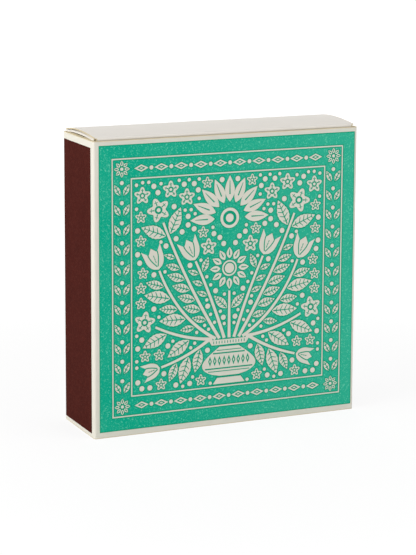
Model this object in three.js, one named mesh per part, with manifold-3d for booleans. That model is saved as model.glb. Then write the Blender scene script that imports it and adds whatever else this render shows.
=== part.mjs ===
// A large square matchbox for long matches, standing on its end: a glued card sleeve with a
// printed front and two striking coats, a folded card tray that slides in it, and the matches.
// Millimetres, +Z up, the front towards -Y, the origin under the middle of the box.

import * as THREE from "three";
import { mergeVertices } from "three/addons/utils/BufferGeometryUtils.js";
import Module from "manifold-3d";

// Sleeve: one wrap of card, closed by a lap glued inside its right side
const sleeveWidth = 106.8;
const sleeveDepth = 30.9;
const sleeveHeight = 110;
const sleeveCard = 0.5;
const sleeveFold = 0.9; // outer radius of a folded corner
const lapWidth = 13;

// Striking coats on the two narrow sides
const strikerThickness = 0.1;
const strikerFrontMargin = 2.6;
const strikerBackMargin = 1.1;
const strikerTopMargin = 2.6;
const strikerBottomMargin = 1.6;

// Printed ink on the front, a little out of register as such prints are
const inkThickness = 0.1;
const inkSideMargin = 1.6;
const inkEndMargin = 1.95;
const inkRegisterAcross = 0.5;
const inkRegisterUp = 0.25;

// Ruled border of the print
const ruleWidth = 0.5;
const ruleBridge = 0.8; // ink left between two rules where they would cross
const outerRuleInset = 5.2;
const borderWidth = 7.4;
const borderPitch = 7.6;
const rosetteRadius = 3.1;

// Picture inside the border: a crest, an urn with flowering stems, and small blooms between
const crestRadius = 16;
const crestPetals = 9;
const crestPetalWidth = 4;
const urnHeight = 17;
const urnWidth = 22;
const urnLine = 0.7; // ink between the urn's foot, body and lip
const stemWidth = 1.1;
const leafLength = 10.5;
const leafWidth = 5;
const leafSpacing = 4.6; // along a stem, from leaf pair to leaf pair
const pictureGap = 0.4; // ink left between two ornaments
const sunRadius = 8;
const tulipHeight = 9;
const daisyRadius = 4.6;
const smallBlooms = [3.3, 2.3]; // radii of the blooms that fill the gaps, largest first
const berryRadius = 1.2;
const fillStep = 0.8; // how finely the picture is searched for gaps

// Tray: one piece of card, its ends rolled over their tabs and bowed outwards
const trayLength = 110;
const trayCard = 0.4;
const trayClearance = 0.3; // on each side in the sleeve
const trayLift = 1.2; // how far the tray stands out of the sleeve at rest
const trayFold = 0.6; // outer radius of a folded corner
const layerGap = 0.12; // between the layers of an end wall
const endCrown = 1.0; // how far the outer layer bows out
const tabCrown = 0.7; // how far the tabs and the inner layer bow out
const crownSkew = 0.25; // how much the bow leans towards the back
const tabReach = 22;
const innerEndGap = 0.4; // between an inner layer and the walls beside it

// Matches, heads up
const matchesAcross = 27;
const matchLayers = 5;
const stickSide = 2.4;
const headDiameter = 3.5;
const headLength = 6;
const headroom = 4.8; // between the heads and the tray's upper end
const matchGap = 0.3; // between the matches and the tray, and between layers
const stickJitter = 0.8; // how unevenly the sticks stand

const quarter = Math.PI / 2; // a quarter turn
const weld = 1e-3; // points this close are one point
const leastFold = 0.05; // inner radius of a fold in card as thick as the fold's outer radius

// What follows from those
const sleeveY = inkThickness / 2;
const frontFace = sleeveY - sleeveDepth / 2;
const trayWidth = sleeveWidth - 3 * sleeveCard - 2 * trayClearance;
const trayDepth = sleeveDepth - 2 * sleeveCard - 2 * trayClearance;
const rollRadius = trayCard + layerGap; // to the middle of the card
const rollReach = rollRadius + trayCard / 2;
const endThickness = 3 * trayCard + 2 * layerGap;
const stickLength = trayLength - 2 * endThickness - matchGap - headLength - headroom;

const wasm = await Module();
wasm.setup();

// Closed mesh to solid and back

function solidOf(geometry) {
  const bare = geometry.index ? geometry.toNonIndexed() : geometry.clone();
  bare.deleteAttribute("normal");
  bare.deleteAttribute("uv");
  const merged = mergeVertices(bare, 1e-5);
  return new wasm.Manifold(new wasm.Mesh({
    numProp: 3,
    vertProperties: new Float32Array(merged.attributes.position.array),
    triVerts: new Uint32Array(merged.index.array),
  }));
}

// Points closer than the weld become one, and the slivers between them go
function geometryOf(solid) {
  const mesh = solid.getMesh();
  const geometry = new THREE.BufferGeometry();
  geometry.setAttribute("position", new THREE.BufferAttribute(mesh.vertProperties, 3));
  geometry.setIndex(new THREE.BufferAttribute(mesh.triVerts, 1));
  const welded = mergeVertices(geometry, weld);
  const corners = Array.from(welded.index.array);
  const kept = corners.filter((_, i) => {
    const [a, b, c] = corners.slice(3 * Math.floor(i / 3), 3 * Math.floor(i / 3) + 3);
    return a !== b && b !== c && c !== a;
  });
  welded.setIndex(kept);
  const flat = welded.toNonIndexed();
  flat.computeVertexNormals();
  return flat;
}

// The join of a list of solids, taken two by two so that none grows large early
function joined(solids) {
  if (solids.length === 1) {
    return solids[0];
  }
  const half = Math.ceil(solids.length / 2);
  return joined(solids.slice(0, half)).add(joined(solids.slice(half)));
}

// Prisms along each axis from an outline in the other two. Their ends lie exactly where they
// are asked for, so that two of them can share a face.

function prism(shape, steps, place) {
  const options = { depth: 1, bevelEnabled: false, steps, curveSegments: 4 };
  const geometry = new THREE.ExtrudeGeometry(shape, options);
  const position = geometry.attributes.position;
  for (let i = 0; i < position.count; i += 1) {
    position.setXYZ(i, ...place(position.getX(i), position.getY(i), position.getZ(i)));
  }
  return geometry;
}

function prismAlongZ(shape, from, to) {
  return prism(shape, 1, (a, b, t) => [a, b, from * (1 - t) + to * t]);
}

// The shape's y becomes height
function prismAlongY(shape, from, to, steps = 1) {
  return prism(shape, steps, (a, b, t) => [a, to * (1 - t) + from * t, b]);
}

// The shape's x becomes depth and its y height
function prismAlongX(shape, from, to) {
  return prism(shape, 1, (a, b, t) => [from * (1 - t) + to * t, a, b]);
}

function box(low, high) {
  const size = new THREE.Vector3().subVectors(high, low);
  const middle = new THREE.Vector3().addVectors(low, high).multiplyScalar(0.5);
  return new THREE.BoxGeometry(size.x, size.y, size.z).translate(middle.x, middle.y, middle.z);
}

// Sleeve, as its section seen from above: two outlines with folded corners, the back panel
// turned in at the right as a lap under the free edge of the right side

function sleeveSection() {
  const x = sleeveWidth / 2;
  const y = sleeveDepth / 2;
  const r = sleeveFold;
  const section = new THREE.Shape();
  section.absarc(x - r, -y + r, r, -quarter, 0, false);
  section.lineTo(x, y - r);
  section.absarc(x - sleeveCard - r, y - r, r, 0, quarter, false);
  section.absarc(-x + r, y - r, r, quarter, 2 * quarter, false);
  section.absarc(-x + r, -y + r, r, 2 * quarter, 3 * quarter, false);

  const inner = Math.max(r - sleeveCard, leastFold);
  const left = -x + sleeveCard;
  const right = x - sleeveCard;
  const front = -y + sleeveCard;
  const back = y - sleeveCard;
  const lapFace = right - sleeveCard;
  const hollow = new THREE.Path();
  hollow.absarc(right - inner, front + inner, inner, -quarter, 0, false);
  hollow.lineTo(right, back - lapWidth);
  hollow.lineTo(lapFace, back - lapWidth);
  hollow.absarc(lapFace - inner, back - inner, inner, 0, quarter, false);
  hollow.absarc(left + inner, back - inner, inner, quarter, 2 * quarter, false);
  hollow.absarc(left + inner, front + inner, inner, 2 * quarter, 3 * quarter, false);
  section.holes.push(hollow);
  return section;
}

function sleeve() {
  return prismAlongZ(sleeveSection(), 0, sleeveHeight).translate(0, sleeveY, 0);
}

// A striking coat on one narrow side, -1 the left and 1 the right
function striker(side) {
  const face = side * sleeveWidth / 2;
  const outside = face + side * strikerThickness;
  const front = frontFace + strikerFrontMargin;
  const back = frontFace + sleeveDepth - strikerBackMargin;
  const low = new THREE.Vector3(Math.min(face, outside), front, strikerBottomMargin);
  const high = new THREE.Vector3(Math.max(face, outside), back, sleeveHeight - strikerTopMargin);
  return box(low, high);
}

// Outlines of the print's ornaments, each a list of points round the origin

function fromPolar(count, radiusAt) {
  return Array.from({ length: count }, (_, i) => {
    const angle = (2 * Math.PI * i) / count;
    const radius = radiusAt(angle);
    return new THREE.Vector2(radius * Math.cos(angle), radius * Math.sin(angle));
  });
}

// A pointed oval along +x from the origin, widest a little before its middle
function leafOutline(length, width, halfCount = 3) {
  const side = (sign) => Array.from({ length: halfCount - 1 }, (_, i) => {
    const t = (i + 1) / halfCount;
    return new THREE.Vector2(t * length, sign * (width / 2) * Math.sin(Math.PI * Math.pow(t, 0.85)));
  });
  return [new THREE.Vector2(0, 0), ...side(-1), new THREE.Vector2(length, 0), ...side(1).reverse()];
}

function daisyOutline(radius, petals = 5) {
  return fromPolar(2 * petals, (angle) => radius * (0.8 + 0.2 * Math.cos(petals * angle)));
}

function diamondOutline(length, width) {
  return fromPolar(4, (angle) => (Math.abs(Math.cos(angle)) > 0.5 ? length : width) / 2);
}

// A cup with three tips that opens along +x
function tulipOutline(height) {
  const half = [[0, 0], [0.1, 0.26], [0.45, 0.4], [1, 0.44], [0.72, 0.2], [0.96, 0]];
  const right = half.map(([along, across]) => new THREE.Vector2(along * height, -across * height));
  const left = half.slice(1, -1).map(([a, c]) => new THREE.Vector2(a * height, c * height));
  return [...right, ...left.reverse()];
}

function bandOutline(low, high) {
  return [
    new THREE.Vector2(low.x, low.y),
    new THREE.Vector2(high.x, low.y),
    new THREE.Vector2(high.x, high.y),
    new THREE.Vector2(low.x, high.y),
  ];
}

function placed(outline, at, angle = 0) {
  const origin = new THREE.Vector2();
  return outline.map((point) => point.clone().rotateAround(origin, angle).add(at));
}

// A strip of even width along a line of points
function stripOutline(points, width) {
  const near = [];
  const far = [];
  points.forEach((point, i) => {
    const before = points[Math.max(i - 1, 0)];
    const after = points[Math.min(i + 1, points.length - 1)];
    const along = after.clone().sub(before).normalize();
    const across = new THREE.Vector2(-along.y, along.x).multiplyScalar(width / 2);
    near.push(point.clone().sub(across));
    far.push(point.clone().add(across));
  });
  return [...near, ...far.reverse()];
}

// Half sizes of the inked field and of the two rules, about the middle of the field
const field = new THREE.Vector2(sleeveWidth / 2 - inkSideMargin, sleeveHeight / 2 - inkEndMargin);
const outerRule = field.clone().subScalar(outerRuleInset);
const innerRule = outerRule.clone().subScalar(borderWidth);

// The four rules of one ruled frame, with the corners left as ink
function ruledFrame(half) {
  const w = ruleWidth / 2;
  const x = half.x - ruleBridge;
  const y = half.y - ruleBridge;
  const level = [-half.y, half.y].map((at) =>
    bandOutline(new THREE.Vector2(-x, at - w), new THREE.Vector2(x, at + w)));
  const upright = [-half.x, half.x].map((at) =>
    bandOutline(new THREE.Vector2(at - w, -y), new THREE.Vector2(at + w, y)));
  return [...level, ...upright];
}

// A round flower of separate petals, for a corner of the border
function rosette(at) {
  const petals = 8;
  const petal = leafOutline(0.68 * rosetteRadius, 0.42 * rosetteRadius, 2);
  const outlines = Array.from({ length: petals }, (_, i) => {
    const angle = (2 * Math.PI * i) / petals;
    const foot = new THREE.Vector2(0.34 * rosetteRadius, 0).rotateAround(new THREE.Vector2(), angle);
    return placed(petal, foot.add(at), angle);
  });
  return [...outlines, placed(fromPolar(6, () => 0.2 * rosetteRadius), at)];
}

// Rows of ornaments between the two rules: leaf pairs up the sides, diamonds along the ends
function borderOrnaments() {
  const middle = outerRule.clone().add(innerRule).multiplyScalar(0.5);
  const sideCount = Math.max(1, Math.round((2 * innerRule.y) / borderPitch));
  const endCount = Math.max(1, Math.round((2 * innerRule.x) / borderPitch));
  const sidePitch = (2 * innerRule.y) / sideCount;
  const endPitch = (2 * innerRule.x) / endCount;
  const leaf = leafOutline(0.62 * sidePitch, 0.3 * sidePitch);
  const diamond = diamondOutline(0.72 * endPitch, 0.34 * endPitch);
  const dot = fromPolar(4, () => 0.1 * endPitch);
  const outlines = [];
  for (const side of [-1, 1]) {
    for (let i = 0; i < sideCount; i += 1) {
      const foot = new THREE.Vector2(side * middle.x, (i + 0.2 - sideCount / 2) * sidePitch);
      for (const lean of [-1, 1]) {
        const beside = foot.clone().add(new THREE.Vector2(0.1 * lean * sidePitch, 0));
        outlines.push(placed(leaf, beside, Math.PI / 2 - 0.62 * lean));
      }
      outlines.push(placed(dot, foot.clone().add(new THREE.Vector2(0, 0.62 * sidePitch))));
    }
    for (let i = 0; i < endCount; i += 1) {
      const at = new THREE.Vector2((i + 0.5 - endCount / 2) * endPitch, side * middle.y);
      outlines.push(placed(diamond, at));
      if (i > 0) {
        outlines.push(placed(dot, at.clone().sub(new THREE.Vector2(0.5 * endPitch, 0))));
      }
    }
    for (const end of [-1, 1]) {
      outlines.push(...rosette(new THREE.Vector2(side * middle.x, end * middle.y)));
    }
  }
  return outlines;
}

// The picture is the same left and right. It is made right of its middle, where each ornament
// takes up round rooms, so that the leaves and blooms that come later keep clear of it.

function unit(angle) {
  return new THREE.Vector2(Math.cos(angle), Math.sin(angle));
}

function room(at, radius) {
  return { at, radius };
}

// The rooms of a leaf or petal that grows from a point
function leafRooms(root, angle, length, width) {
  const along = (share) => root.clone().addScaledVector(unit(angle), share * length);
  return [
    room(along(0.14), 0.28 * width),
    room(along(0.4), 0.5 * width),
    room(along(0.66), 0.4 * width),
    room(along(0.9), 0.15 * width),
  ];
}

function isFree(taken, wanted) {
  const inRule = innerRule.clone().subScalar(ruleWidth / 2 + pictureGap);
  return wanted.every(({ at, radius }) =>
    at.x + radius < inRule.x
    && Math.abs(at.y) + radius < inRule.y
    && taken.every((other) => other.at.distanceTo(at) > other.radius + radius + pictureGap));
}

// A fan of long petals over a round boss, at the top of the picture
function crest(taken) {
  const foot = new THREE.Vector2(0, innerRule.y - crestRadius - 2 * ruleWidth);
  const length = 0.62 * crestRadius;
  const outlines = Array.from({ length: crestPetals }, (_, i) => {
    const angle = (Math.PI * i) / (crestPetals - 1);
    const root = foot.clone().addScaledVector(unit(angle), crestRadius - length);
    taken.push(...leafRooms(root, angle, length, crestPetalWidth));
    return placed(leafOutline(length, crestPetalWidth, 4), root, angle);
  });
  taken.push(room(foot, crestRadius - length));
  return [...outlines, placed(fromPolar(10, () => 0.24 * crestRadius), foot)];
}

// Foot, body and lip of the urn, each as wide at the left as at the right
function urn(taken) {
  const base = -innerRule.y + 2 * ruleWidth;
  const footHeight = 0.14 * urnHeight;
  const lipHeight = 0.12 * urnHeight;
  const bodyLow = base + footHeight + urnLine;
  const bodyHigh = base + urnHeight - lipHeight - urnLine;
  const count = 8;
  const body = Array.from({ length: count }, (_, i) => {
    const t = i / (count - 1);
    const half = (urnWidth / 2) * (0.36 + 0.64 * Math.sin(Math.PI * Math.pow(t, 0.7)));
    return new THREE.Vector2(half, bodyLow + t * (bodyHigh - bodyLow));
  });
  const foot = [
    new THREE.Vector2(0.3 * urnWidth, base),
    new THREE.Vector2(0.22 * urnWidth, base + footHeight),
  ];
  const lip = [
    new THREE.Vector2(0.32 * urnWidth, base + urnHeight - lipHeight),
    new THREE.Vector2(0.38 * urnWidth, base + urnHeight),
  ];
  for (const { x, y } of [...body, ...foot, ...lip]) {
    for (let across = 0; across < x; across += 2 * urnLine) {
      taken.push(room(new THREE.Vector2(across, y), urnLine));
    }
  }
  return [foot, body, lip].map((right) => [...right, ...mirrored(right)]);
}

// Flowering stems of the right half. Each starts at a share of the urn's width from its
// middle, leaves at its own angle, and ends at a tip given as shares of the picture's half
// sizes. The first stands on the middle line.
const stems = [
  { from: 0, leaves: 90, tip: [0, -0.1], bloom: "sun", size: sunRadius },
  { from: 0.09, leaves: 72, tip: [0.35, 0.2], bloom: "tulip", size: tulipHeight },
  { from: 0.18, leaves: 58, tip: [0.68, 0.58], bloom: "daisy", size: daisyRadius },
  { from: 0.25, leaves: 30, tip: [0.72, 0.14], bloom: "tulip", size: tulipHeight },
  { from: 0.31, leaves: 4, tip: [0.76, -0.38], bloom: "daisy", size: 0.91 * daisyRadius },
  { from: 0.36, leaves: -34, tip: [0.7, -0.76], bloom: "tulip", size: 0.82 * tulipHeight },
];

function stemCurve({ from, leaves, tip }) {
  const foot = new THREE.Vector2(from * urnWidth, -innerRule.y + urnHeight + 3 * ruleWidth);
  const end = new THREE.Vector2(tip[0] * innerRule.x, tip[1] * innerRule.y);
  const reach = 0.5 * end.distanceTo(foot);
  const bend = foot.clone().addScaledVector(unit(THREE.MathUtils.degToRad(leaves)), reach);
  return new THREE.QuadraticBezierCurve(foot, bend, end);
}

// A round flower of separate petals about a boss
function sun(at, radius) {
  const petals = 12;
  const boss = 0.46 * radius;
  const petal = leafOutline(radius - boss, (2.5 * Math.PI * boss) / petals, 2);
  const outlines = Array.from({ length: petals }, (_, i) => {
    const angle = (2 * Math.PI * i) / petals;
    return placed(petal, at.clone().addScaledVector(unit(angle), boss), angle);
  });
  return [...outlines, placed(fromPolar(10, () => 0.38 * radius), at)];
}

// The bloom at a stem's tip, which points along the stem
function bloom({ bloom: kind, size }, tip, angle, taken) {
  const gap = stemWidth / 2;
  const ahead = (distance) => tip.clone().addScaledVector(unit(angle), gap + distance);
  if (kind === "tulip") {
    taken.push(room(ahead(0.36 * size), 0.36 * size), room(ahead(0.72 * size), 0.44 * size));
    return [placed(tulipOutline(size), ahead(0), angle)];
  }
  taken.push(room(ahead(size), size));
  return kind === "sun" ? sun(ahead(size), size) : [placed(daisyOutline(size), ahead(size), angle)];
}

// Leaf pairs along a stem, each leaf as large as the room beside the stem allows
function leavesAlong(curve, isMiddle, taken) {
  const reach = curve.getLength();
  const pairs = Math.floor(reach / leafSpacing);
  const outlines = [];
  for (let i = 0; i < pairs; i += 1) {
    const t = (i + 0.8) / (pairs + 0.1);
    const along = curve.getTangent(t).angle();
    for (const lean of isMiddle ? [-1] : [-1, 1]) {
      const angle = along + 0.8 * lean;
      const root = curve.getPoint(t).addScaledVector(unit(angle), 1.2 * stemWidth);
      const fitting = [1, 0.85, 0.7, 0.56, 0.44].find((size) => {
        const rooms = leafRooms(root, angle, size * leafLength, size * leafWidth).slice(1);
        const isRight = rooms.every(({ at, radius }) => at.x > radius + pictureGap / 2);
        return isRight && isFree(taken, rooms);
      });
      if (fitting) {
        const length = fitting * leafLength;
        const width = fitting * leafWidth;
        outlines.push(placed(leafOutline(length, width), root, angle));
        taken.push(...leafRooms(root, angle, length, width));
      }
    }
  }
  return outlines;
}

// Blooms and berries of falling size wherever one still fits
function fillings(taken) {
  const kinds = [
    ...smallBlooms.map((radius) => ({ radius, outline: daisyOutline(radius) })),
    { radius: berryRadius, outline: fromPolar(5, () => 0.85 * berryRadius) },
  ];
  const outlines = [];
  for (const { radius, outline } of kinds) {
    for (let y = fillStep - innerRule.y; y < innerRule.y; y += fillStep) {
      for (let x = radius + pictureGap; x < innerRule.x; x += fillStep) {
        const wanted = room(new THREE.Vector2(x, y), radius);
        if (isFree(taken, [wanted])) {
          outlines.push(placed(outline, wanted.at, quarter));
          taken.push(wanted);
        }
      }
    }
  }
  return outlines;
}

function mirrored(outline) {
  return outline.map((point) => new THREE.Vector2(-point.x, point.y)).reverse();
}

function picture() {
  const taken = [];
  const middle = [...crest(taken), ...urn(taken)];
  const curves = stems.map(stemCurve);
  const sides = [];
  curves.forEach((curve, i) => {
    const points = curve.getPoints(20);
    taken.push(...points.map((at) => room(at, stemWidth / 2)));
    const end = curve.getTangent(1).angle();
    const outlines = [
      stripOutline(curve.getPoints(6), stemWidth),
      ...bloom(stems[i], points.at(-1), end, taken),
    ];
    (i === 0 ? middle : sides).push(...outlines);
  });
  curves.forEach((curve, i) => sides.push(...leavesAlong(curve, i === 0, taken)));
  sides.push(...fillings(taken));
  return [...middle, ...sides, ...sides.map(mirrored)];
}

// The ink: one film over the front with every ornament cut through it. A speck of ink that
// crossing ornaments would cut off all round is left out.
function frontPrint() {
  const outlines = [
    ...ruledFrame(outerRule),
    ...ruledFrame(innerRule),
    ...borderOrnaments(),
    ...picture(),
  ];
  const margin = 1;
  const cutters = outlines.map((outline) =>
    solidOf(prismAlongY(new THREE.Shape(outline), -inkThickness - margin, margin)));
  const film = solidOf(box(
    new THREE.Vector3(-field.x, -inkThickness, -field.y),
    new THREE.Vector3(field.x, 0, field.y)));
  const bodies = film.subtract(joined(cutters)).decompose();
  const whole = bodies.reduce((most, body) => (body.volume() > most.volume() ? body : most));
  return geometryOf(whole).translate(inkRegisterAcross, frontFace, sleeveHeight / 2 + inkRegisterUp);
}

// Tray, in its own frame: the floor at the back, the open side at the front, z from 0 up

// How far a bowed layer stands out at a depth y
function bowAt(y, crown) {
  const s = THREE.MathUtils.clamp(y / (trayDepth / 2 - trayFold), -1, 1);
  return crown * (1 - s * s) * (1 + crownSkew * s);
}

// The same geometry with its two ends moved out by the bow of the tabs
function bowed(geometry) {
  const position = geometry.attributes.position;
  for (let i = 0; i < position.count; i += 1) {
    const towards = position.getZ(i) > trayLength / 2 ? 1 : -1;
    position.setZ(i, position.getZ(i) + towards * bowAt(position.getY(i), tabCrown));
  }
  return geometry;
}

// Stations along a strip of card seen from its edge: a point in the middle of the card, as
// depth and height, and the direction across the card

function bowedStations(from, to, level, crown, up, count = 10) {
  return Array.from({ length: count + 1 }, (_, i) => {
    const y = from + ((to - from) * i) / count;
    return { at: new THREE.Vector2(y, level + bowAt(y, crown)), across: new THREE.Vector2(0, up) };
  });
}

function arcStations(centre, radius, from, to, count) {
  return Array.from({ length: count + 1 }, (_, i) => {
    const angle = from + ((to - from) * i) / count;
    const across = new THREE.Vector2(Math.cos(angle), Math.sin(angle));
    return { at: across.clone().multiplyScalar(radius).add(centre), across };
  });
}

// The outline of a folded strip of card, half its thickness to each side of its stations
function cardOutline(stations) {
  const side = (half) => stations.map(({ at, across }) => at.clone().addScaledVector(across, half));
  return new THREE.Shape([...side(-trayCard / 2), ...side(trayCard / 2).reverse()]);
}

function trayFloor() {
  const half = trayWidth / 2 - trayFold;
  const section = new THREE.Shape(bandOutline(
    new THREE.Vector2(-half, trayDepth / 2 - trayCard),
    new THREE.Vector2(half, trayDepth / 2)));
  return solidOf(prismAlongZ(section, trayFold, trayLength - trayFold));
}

// The left side of the tray: the long fold up from the floor, then the wall with a tab
// folded in at each end and bowed with the end walls, then the wall's plain rim, which
// passes in front of the tabs
function traySide() {
  const r = trayFold;
  const inner = Math.max(r - trayCard, leastFold);
  const reach = trayCard + inner;
  const left = -trayWidth / 2;
  const low = trayCard + layerGap;
  const high = trayLength - low;
  const back = trayDepth / 2;

  const fold = new THREE.Shape();
  fold.absarc(left + r, back - r, r, quarter, 2 * quarter, false);
  fold.absarc(left + reach, back - reach, inner, 2 * quarter, quarter, true);

  const wall = new THREE.Shape();
  wall.absarc(left + r, high - r, r, quarter, 2 * quarter, false);
  wall.absarc(left + r, low + r, r, 2 * quarter, 3 * quarter, false);
  wall.lineTo(left + tabReach, low);
  wall.lineTo(left + tabReach, low + trayCard);
  wall.absarc(left + reach, low + reach, inner, 3 * quarter, 2 * quarter, true);
  wall.absarc(left + reach, high - reach, inner, 2 * quarter, quarter, true);
  wall.lineTo(left + tabReach, high - trayCard);
  wall.lineTo(left + tabReach, high);

  const rim = new THREE.Shape(bandOutline(
    new THREE.Vector2(left, low + r),
    new THREE.Vector2(left + trayCard, high - r)));

  const tabFront = -back + rollReach + layerGap;
  return joined([
    solidOf(prismAlongZ(fold, low + r, high - r)),
    solidOf(bowed(prismAlongY(wall, tabFront, back - r, 8))),
    solidOf(bowed(prismAlongY(rim, -back, tabFront))),
  ]);
}

// End wall: the outer layer from the floor's fold forward, then the roll over the front and
// the inner layer back towards the floor. The lower one is the upper one upside down.
function endWall(isUpper) {
  const y = trayDepth / 2;
  const level = trayLength - trayCard / 2;
  const lining = level - 2 * rollRadius;
  const foldCentre = new THREE.Vector2(y - trayFold, trayLength - trayFold);
  const rollCentre = new THREE.Vector2(-y + rollReach, level - rollRadius);
  const innerBack = y - trayCard - innerEndGap;
  const outer = [
    ...arcStations(foldCentre, trayFold - trayCard / 2, 0, quarter, 4),
    ...bowedStations(foldCentre.x, rollCentre.x, level, endCrown, 1).slice(1),
  ];
  const rolled = [
    ...outer.slice(-2),
    ...arcStations(rollCentre, rollRadius, quarter, 3 * quarter, 8).slice(1),
    ...bowedStations(rollCentre.x, innerBack, lining, tabCrown, -1).slice(1),
  ];
  const half = trayWidth / 2;
  const innerHalf = half - trayCard - innerEndGap;
  const seated = (stations) => (isUpper ? stations : stations.map(upsideDown));
  const cover = prismAlongX(cardOutline(seated(outer)), -half, half);
  const roll = prismAlongX(cardOutline(seated(rolled)), -innerHalf, innerHalf);
  return solidOf(cover).add(solidOf(roll));
}

function upsideDown({ at, across }) {
  return {
    at: new THREE.Vector2(at.x, trayLength - at.y),
    across: new THREE.Vector2(across.x, -across.y),
  };
}

function tray() {
  const left = traySide();
  const right = left.mirror([1, 0, 0]);
  return geometryOf(joined([trayFloor(), left, right, endWall(true), endWall(false)]));
}

// Matches, in the tray's frame

const matchPitch = (trayWidth - 2 * trayCard) / matchesAcross;
const layerPitch = headDiameter + matchGap;
const matchFoot = endThickness + matchGap;
const backRow = trayDepth / 2 - trayCard - matchGap - headDiameter / 2;
const frontRow = backRow - (matchLayers - 1) * layerPitch;

function stick() {
  return new THREE.BoxGeometry(stickSide, stickSide, stickLength).translate(0, 0, stickLength / 2);
}

// A dipped head: it swells from the stick's end and closes in a blunt round tip
function head(around, rings) {
  const radiusAt = (t) => (headDiameter / 2) * Math.sqrt(Math.sin(Math.PI * (0.16 + 0.84 * t)));
  const profile = [new THREE.Vector2(0, 0)];
  for (let i = 0; i < rings; i += 1) {
    const t = i / rings;
    profile.push(new THREE.Vector2(radiusAt(t), t * headLength));
  }
  profile.push(new THREE.Vector2(0, headLength));
  return new THREE.LatheGeometry(profile, around).rotateX(Math.PI / 2);
}

// The layers behind the front one, as one bundle: ridges where sticks lie side by side, the
// heads of its front row, and a plain block for the heads behind those
function matchBundle() {
  const rows = matchLayers - 1;
  const left = -(matchesAcross * matchPitch) / 2;
  const front = -headDiameter / 2;
  const back = front + rows * layerPitch - matchGap;
  const valley = stickSide / 2;
  const near = [];
  for (let i = 0; i < matchesAcross; i += 1) {
    const middle = left + (i + 0.5) * matchPitch;
    for (const [across, deep] of [[-1, 1], [-1, 0], [1, 0], [1, 1]]) {
      const x = middle + (across * stickSide) / 2;
      near.push(new THREE.Vector2(x, front + (headDiameter - stickSide) / 2 + deep * valley));
    }
  }
  const reach = left + matchGap;
  const outline = [...near, new THREE.Vector2(-reach, back), new THREE.Vector2(reach, back)];
  const solids = [solidOf(prismAlongZ(new THREE.Shape(outline), 0, stickLength))];
  const heads = Array.from({ length: matchesAcross }, (_, i) =>
    solidOf(head(6, 3).translate(left + (i + 0.5) * matchPitch, 0, stickLength - 0.05)));
  solids.push(...heads);
  if (rows > 1) {
    solids.push(solidOf(box(
      new THREE.Vector3(reach, front + layerPitch, stickLength - 0.05),
      new THREE.Vector3(-reach, back, stickLength + 0.8 * headLength))));
  }
  return geometryOf(joined(solids));
}

// Finishes

const finishes = {
  card: { color: 0xe3ddd4, roughness: 0.85, metalness: 0 },
  trayCard: { color: 0xe8e3dc, roughness: 0.85, metalness: 0 },
  ink: { color: 0x1aa686, roughness: 0.6, metalness: 0 },
  striker: { color: 0x4f251f, roughness: 0.9, metalness: 0 },
  wood: { color: 0xd9b98a, roughness: 0.8, metalness: 0 },
  head: { color: 0x7a2a22, roughness: 0.75, metalness: 0 },
};

function piece(name, geometry, finish, at = [0, 0, 0]) {
  const mesh = new THREE.Mesh(geometry, new THREE.MeshStandardMaterial(finishes[finish]));
  mesh.name = name;
  mesh.position.set(...at);
  return mesh;
}

const matchbox = new THREE.Group();
matchbox.add(piece("sleeve", sleeve(), "card"));
matchbox.add(piece("front_print", frontPrint(), "ink"));
matchbox.add(piece("left_striker", striker(-1), "striker"));
matchbox.add(piece("right_striker", striker(1), "striker"));

const drawer = new THREE.Group();
drawer.position.set(-sleeveCard / 2, sleeveY, trayLift);
drawer.add(piece("tray", tray(), "trayCard"));
drawer.add(piece("rear_matches", matchBundle(), "wood", [0, frontRow + layerPitch, matchFoot]));
for (let i = 0; i < matchesAcross; i += 1) {
  const number = String(i + 1).padStart(2, "0");
  const x = (i + 0.5 - matchesAcross / 2) * matchPitch;
  const lift = stickJitter * Math.abs(Math.sin(1.7 * i));
  drawer.add(piece(`match_stick_${number}`, stick(), "wood", [x, frontRow, matchFoot + lift]));
  const top = matchFoot + lift + stickLength;
  drawer.add(piece(`match_head_${number}`, head(8, 4), "head", [x, frontRow, top]));
}
matchbox.add(drawer);

export default matchbox;
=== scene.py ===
"""A large square matchbox standing on its end: card sleeve with a printed front and striking coats, card
tray with rolled ends, and splints with dipped heads. Metres, +Z up, the front towards -Y."""

import math

import bpy
import numpy as np
from mathutils import Matrix, Vector
from mathutils.geometry import delaunay_2d_cdt


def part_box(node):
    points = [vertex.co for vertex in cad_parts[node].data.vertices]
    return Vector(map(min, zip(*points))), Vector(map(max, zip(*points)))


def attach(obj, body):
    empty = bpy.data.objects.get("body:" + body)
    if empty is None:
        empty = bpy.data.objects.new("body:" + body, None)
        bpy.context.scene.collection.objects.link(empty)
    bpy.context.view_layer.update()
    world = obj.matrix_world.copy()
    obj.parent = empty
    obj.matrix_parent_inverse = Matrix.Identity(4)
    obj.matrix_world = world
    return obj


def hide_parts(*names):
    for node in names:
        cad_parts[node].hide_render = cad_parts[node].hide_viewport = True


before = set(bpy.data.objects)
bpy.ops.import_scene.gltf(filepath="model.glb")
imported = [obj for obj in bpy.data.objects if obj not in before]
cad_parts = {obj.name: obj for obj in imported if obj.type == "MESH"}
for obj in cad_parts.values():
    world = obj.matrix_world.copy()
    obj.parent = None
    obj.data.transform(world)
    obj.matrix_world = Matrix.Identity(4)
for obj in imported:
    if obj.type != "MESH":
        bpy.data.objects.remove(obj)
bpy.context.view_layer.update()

bl_info = {
    "name": "Matchbox",
    "version": (1, 0, 0),
    "blender": (4, 5, 0),
    "location": "View3D > Sidebar > Matchbox",
    "description": "Builds the looks of a printed card matchbox",
    "category": "Object",
}

MM = 0.001
TAU = 2 * math.pi


def length(name, description, millimetres):
    """A size that a user can change."""
    return bpy.props.FloatProperty(
        name=name, description=description, default=millimetres * MM,
        min=0, precision=5, subtype="DISTANCE", unit="LENGTH",
    )


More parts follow.
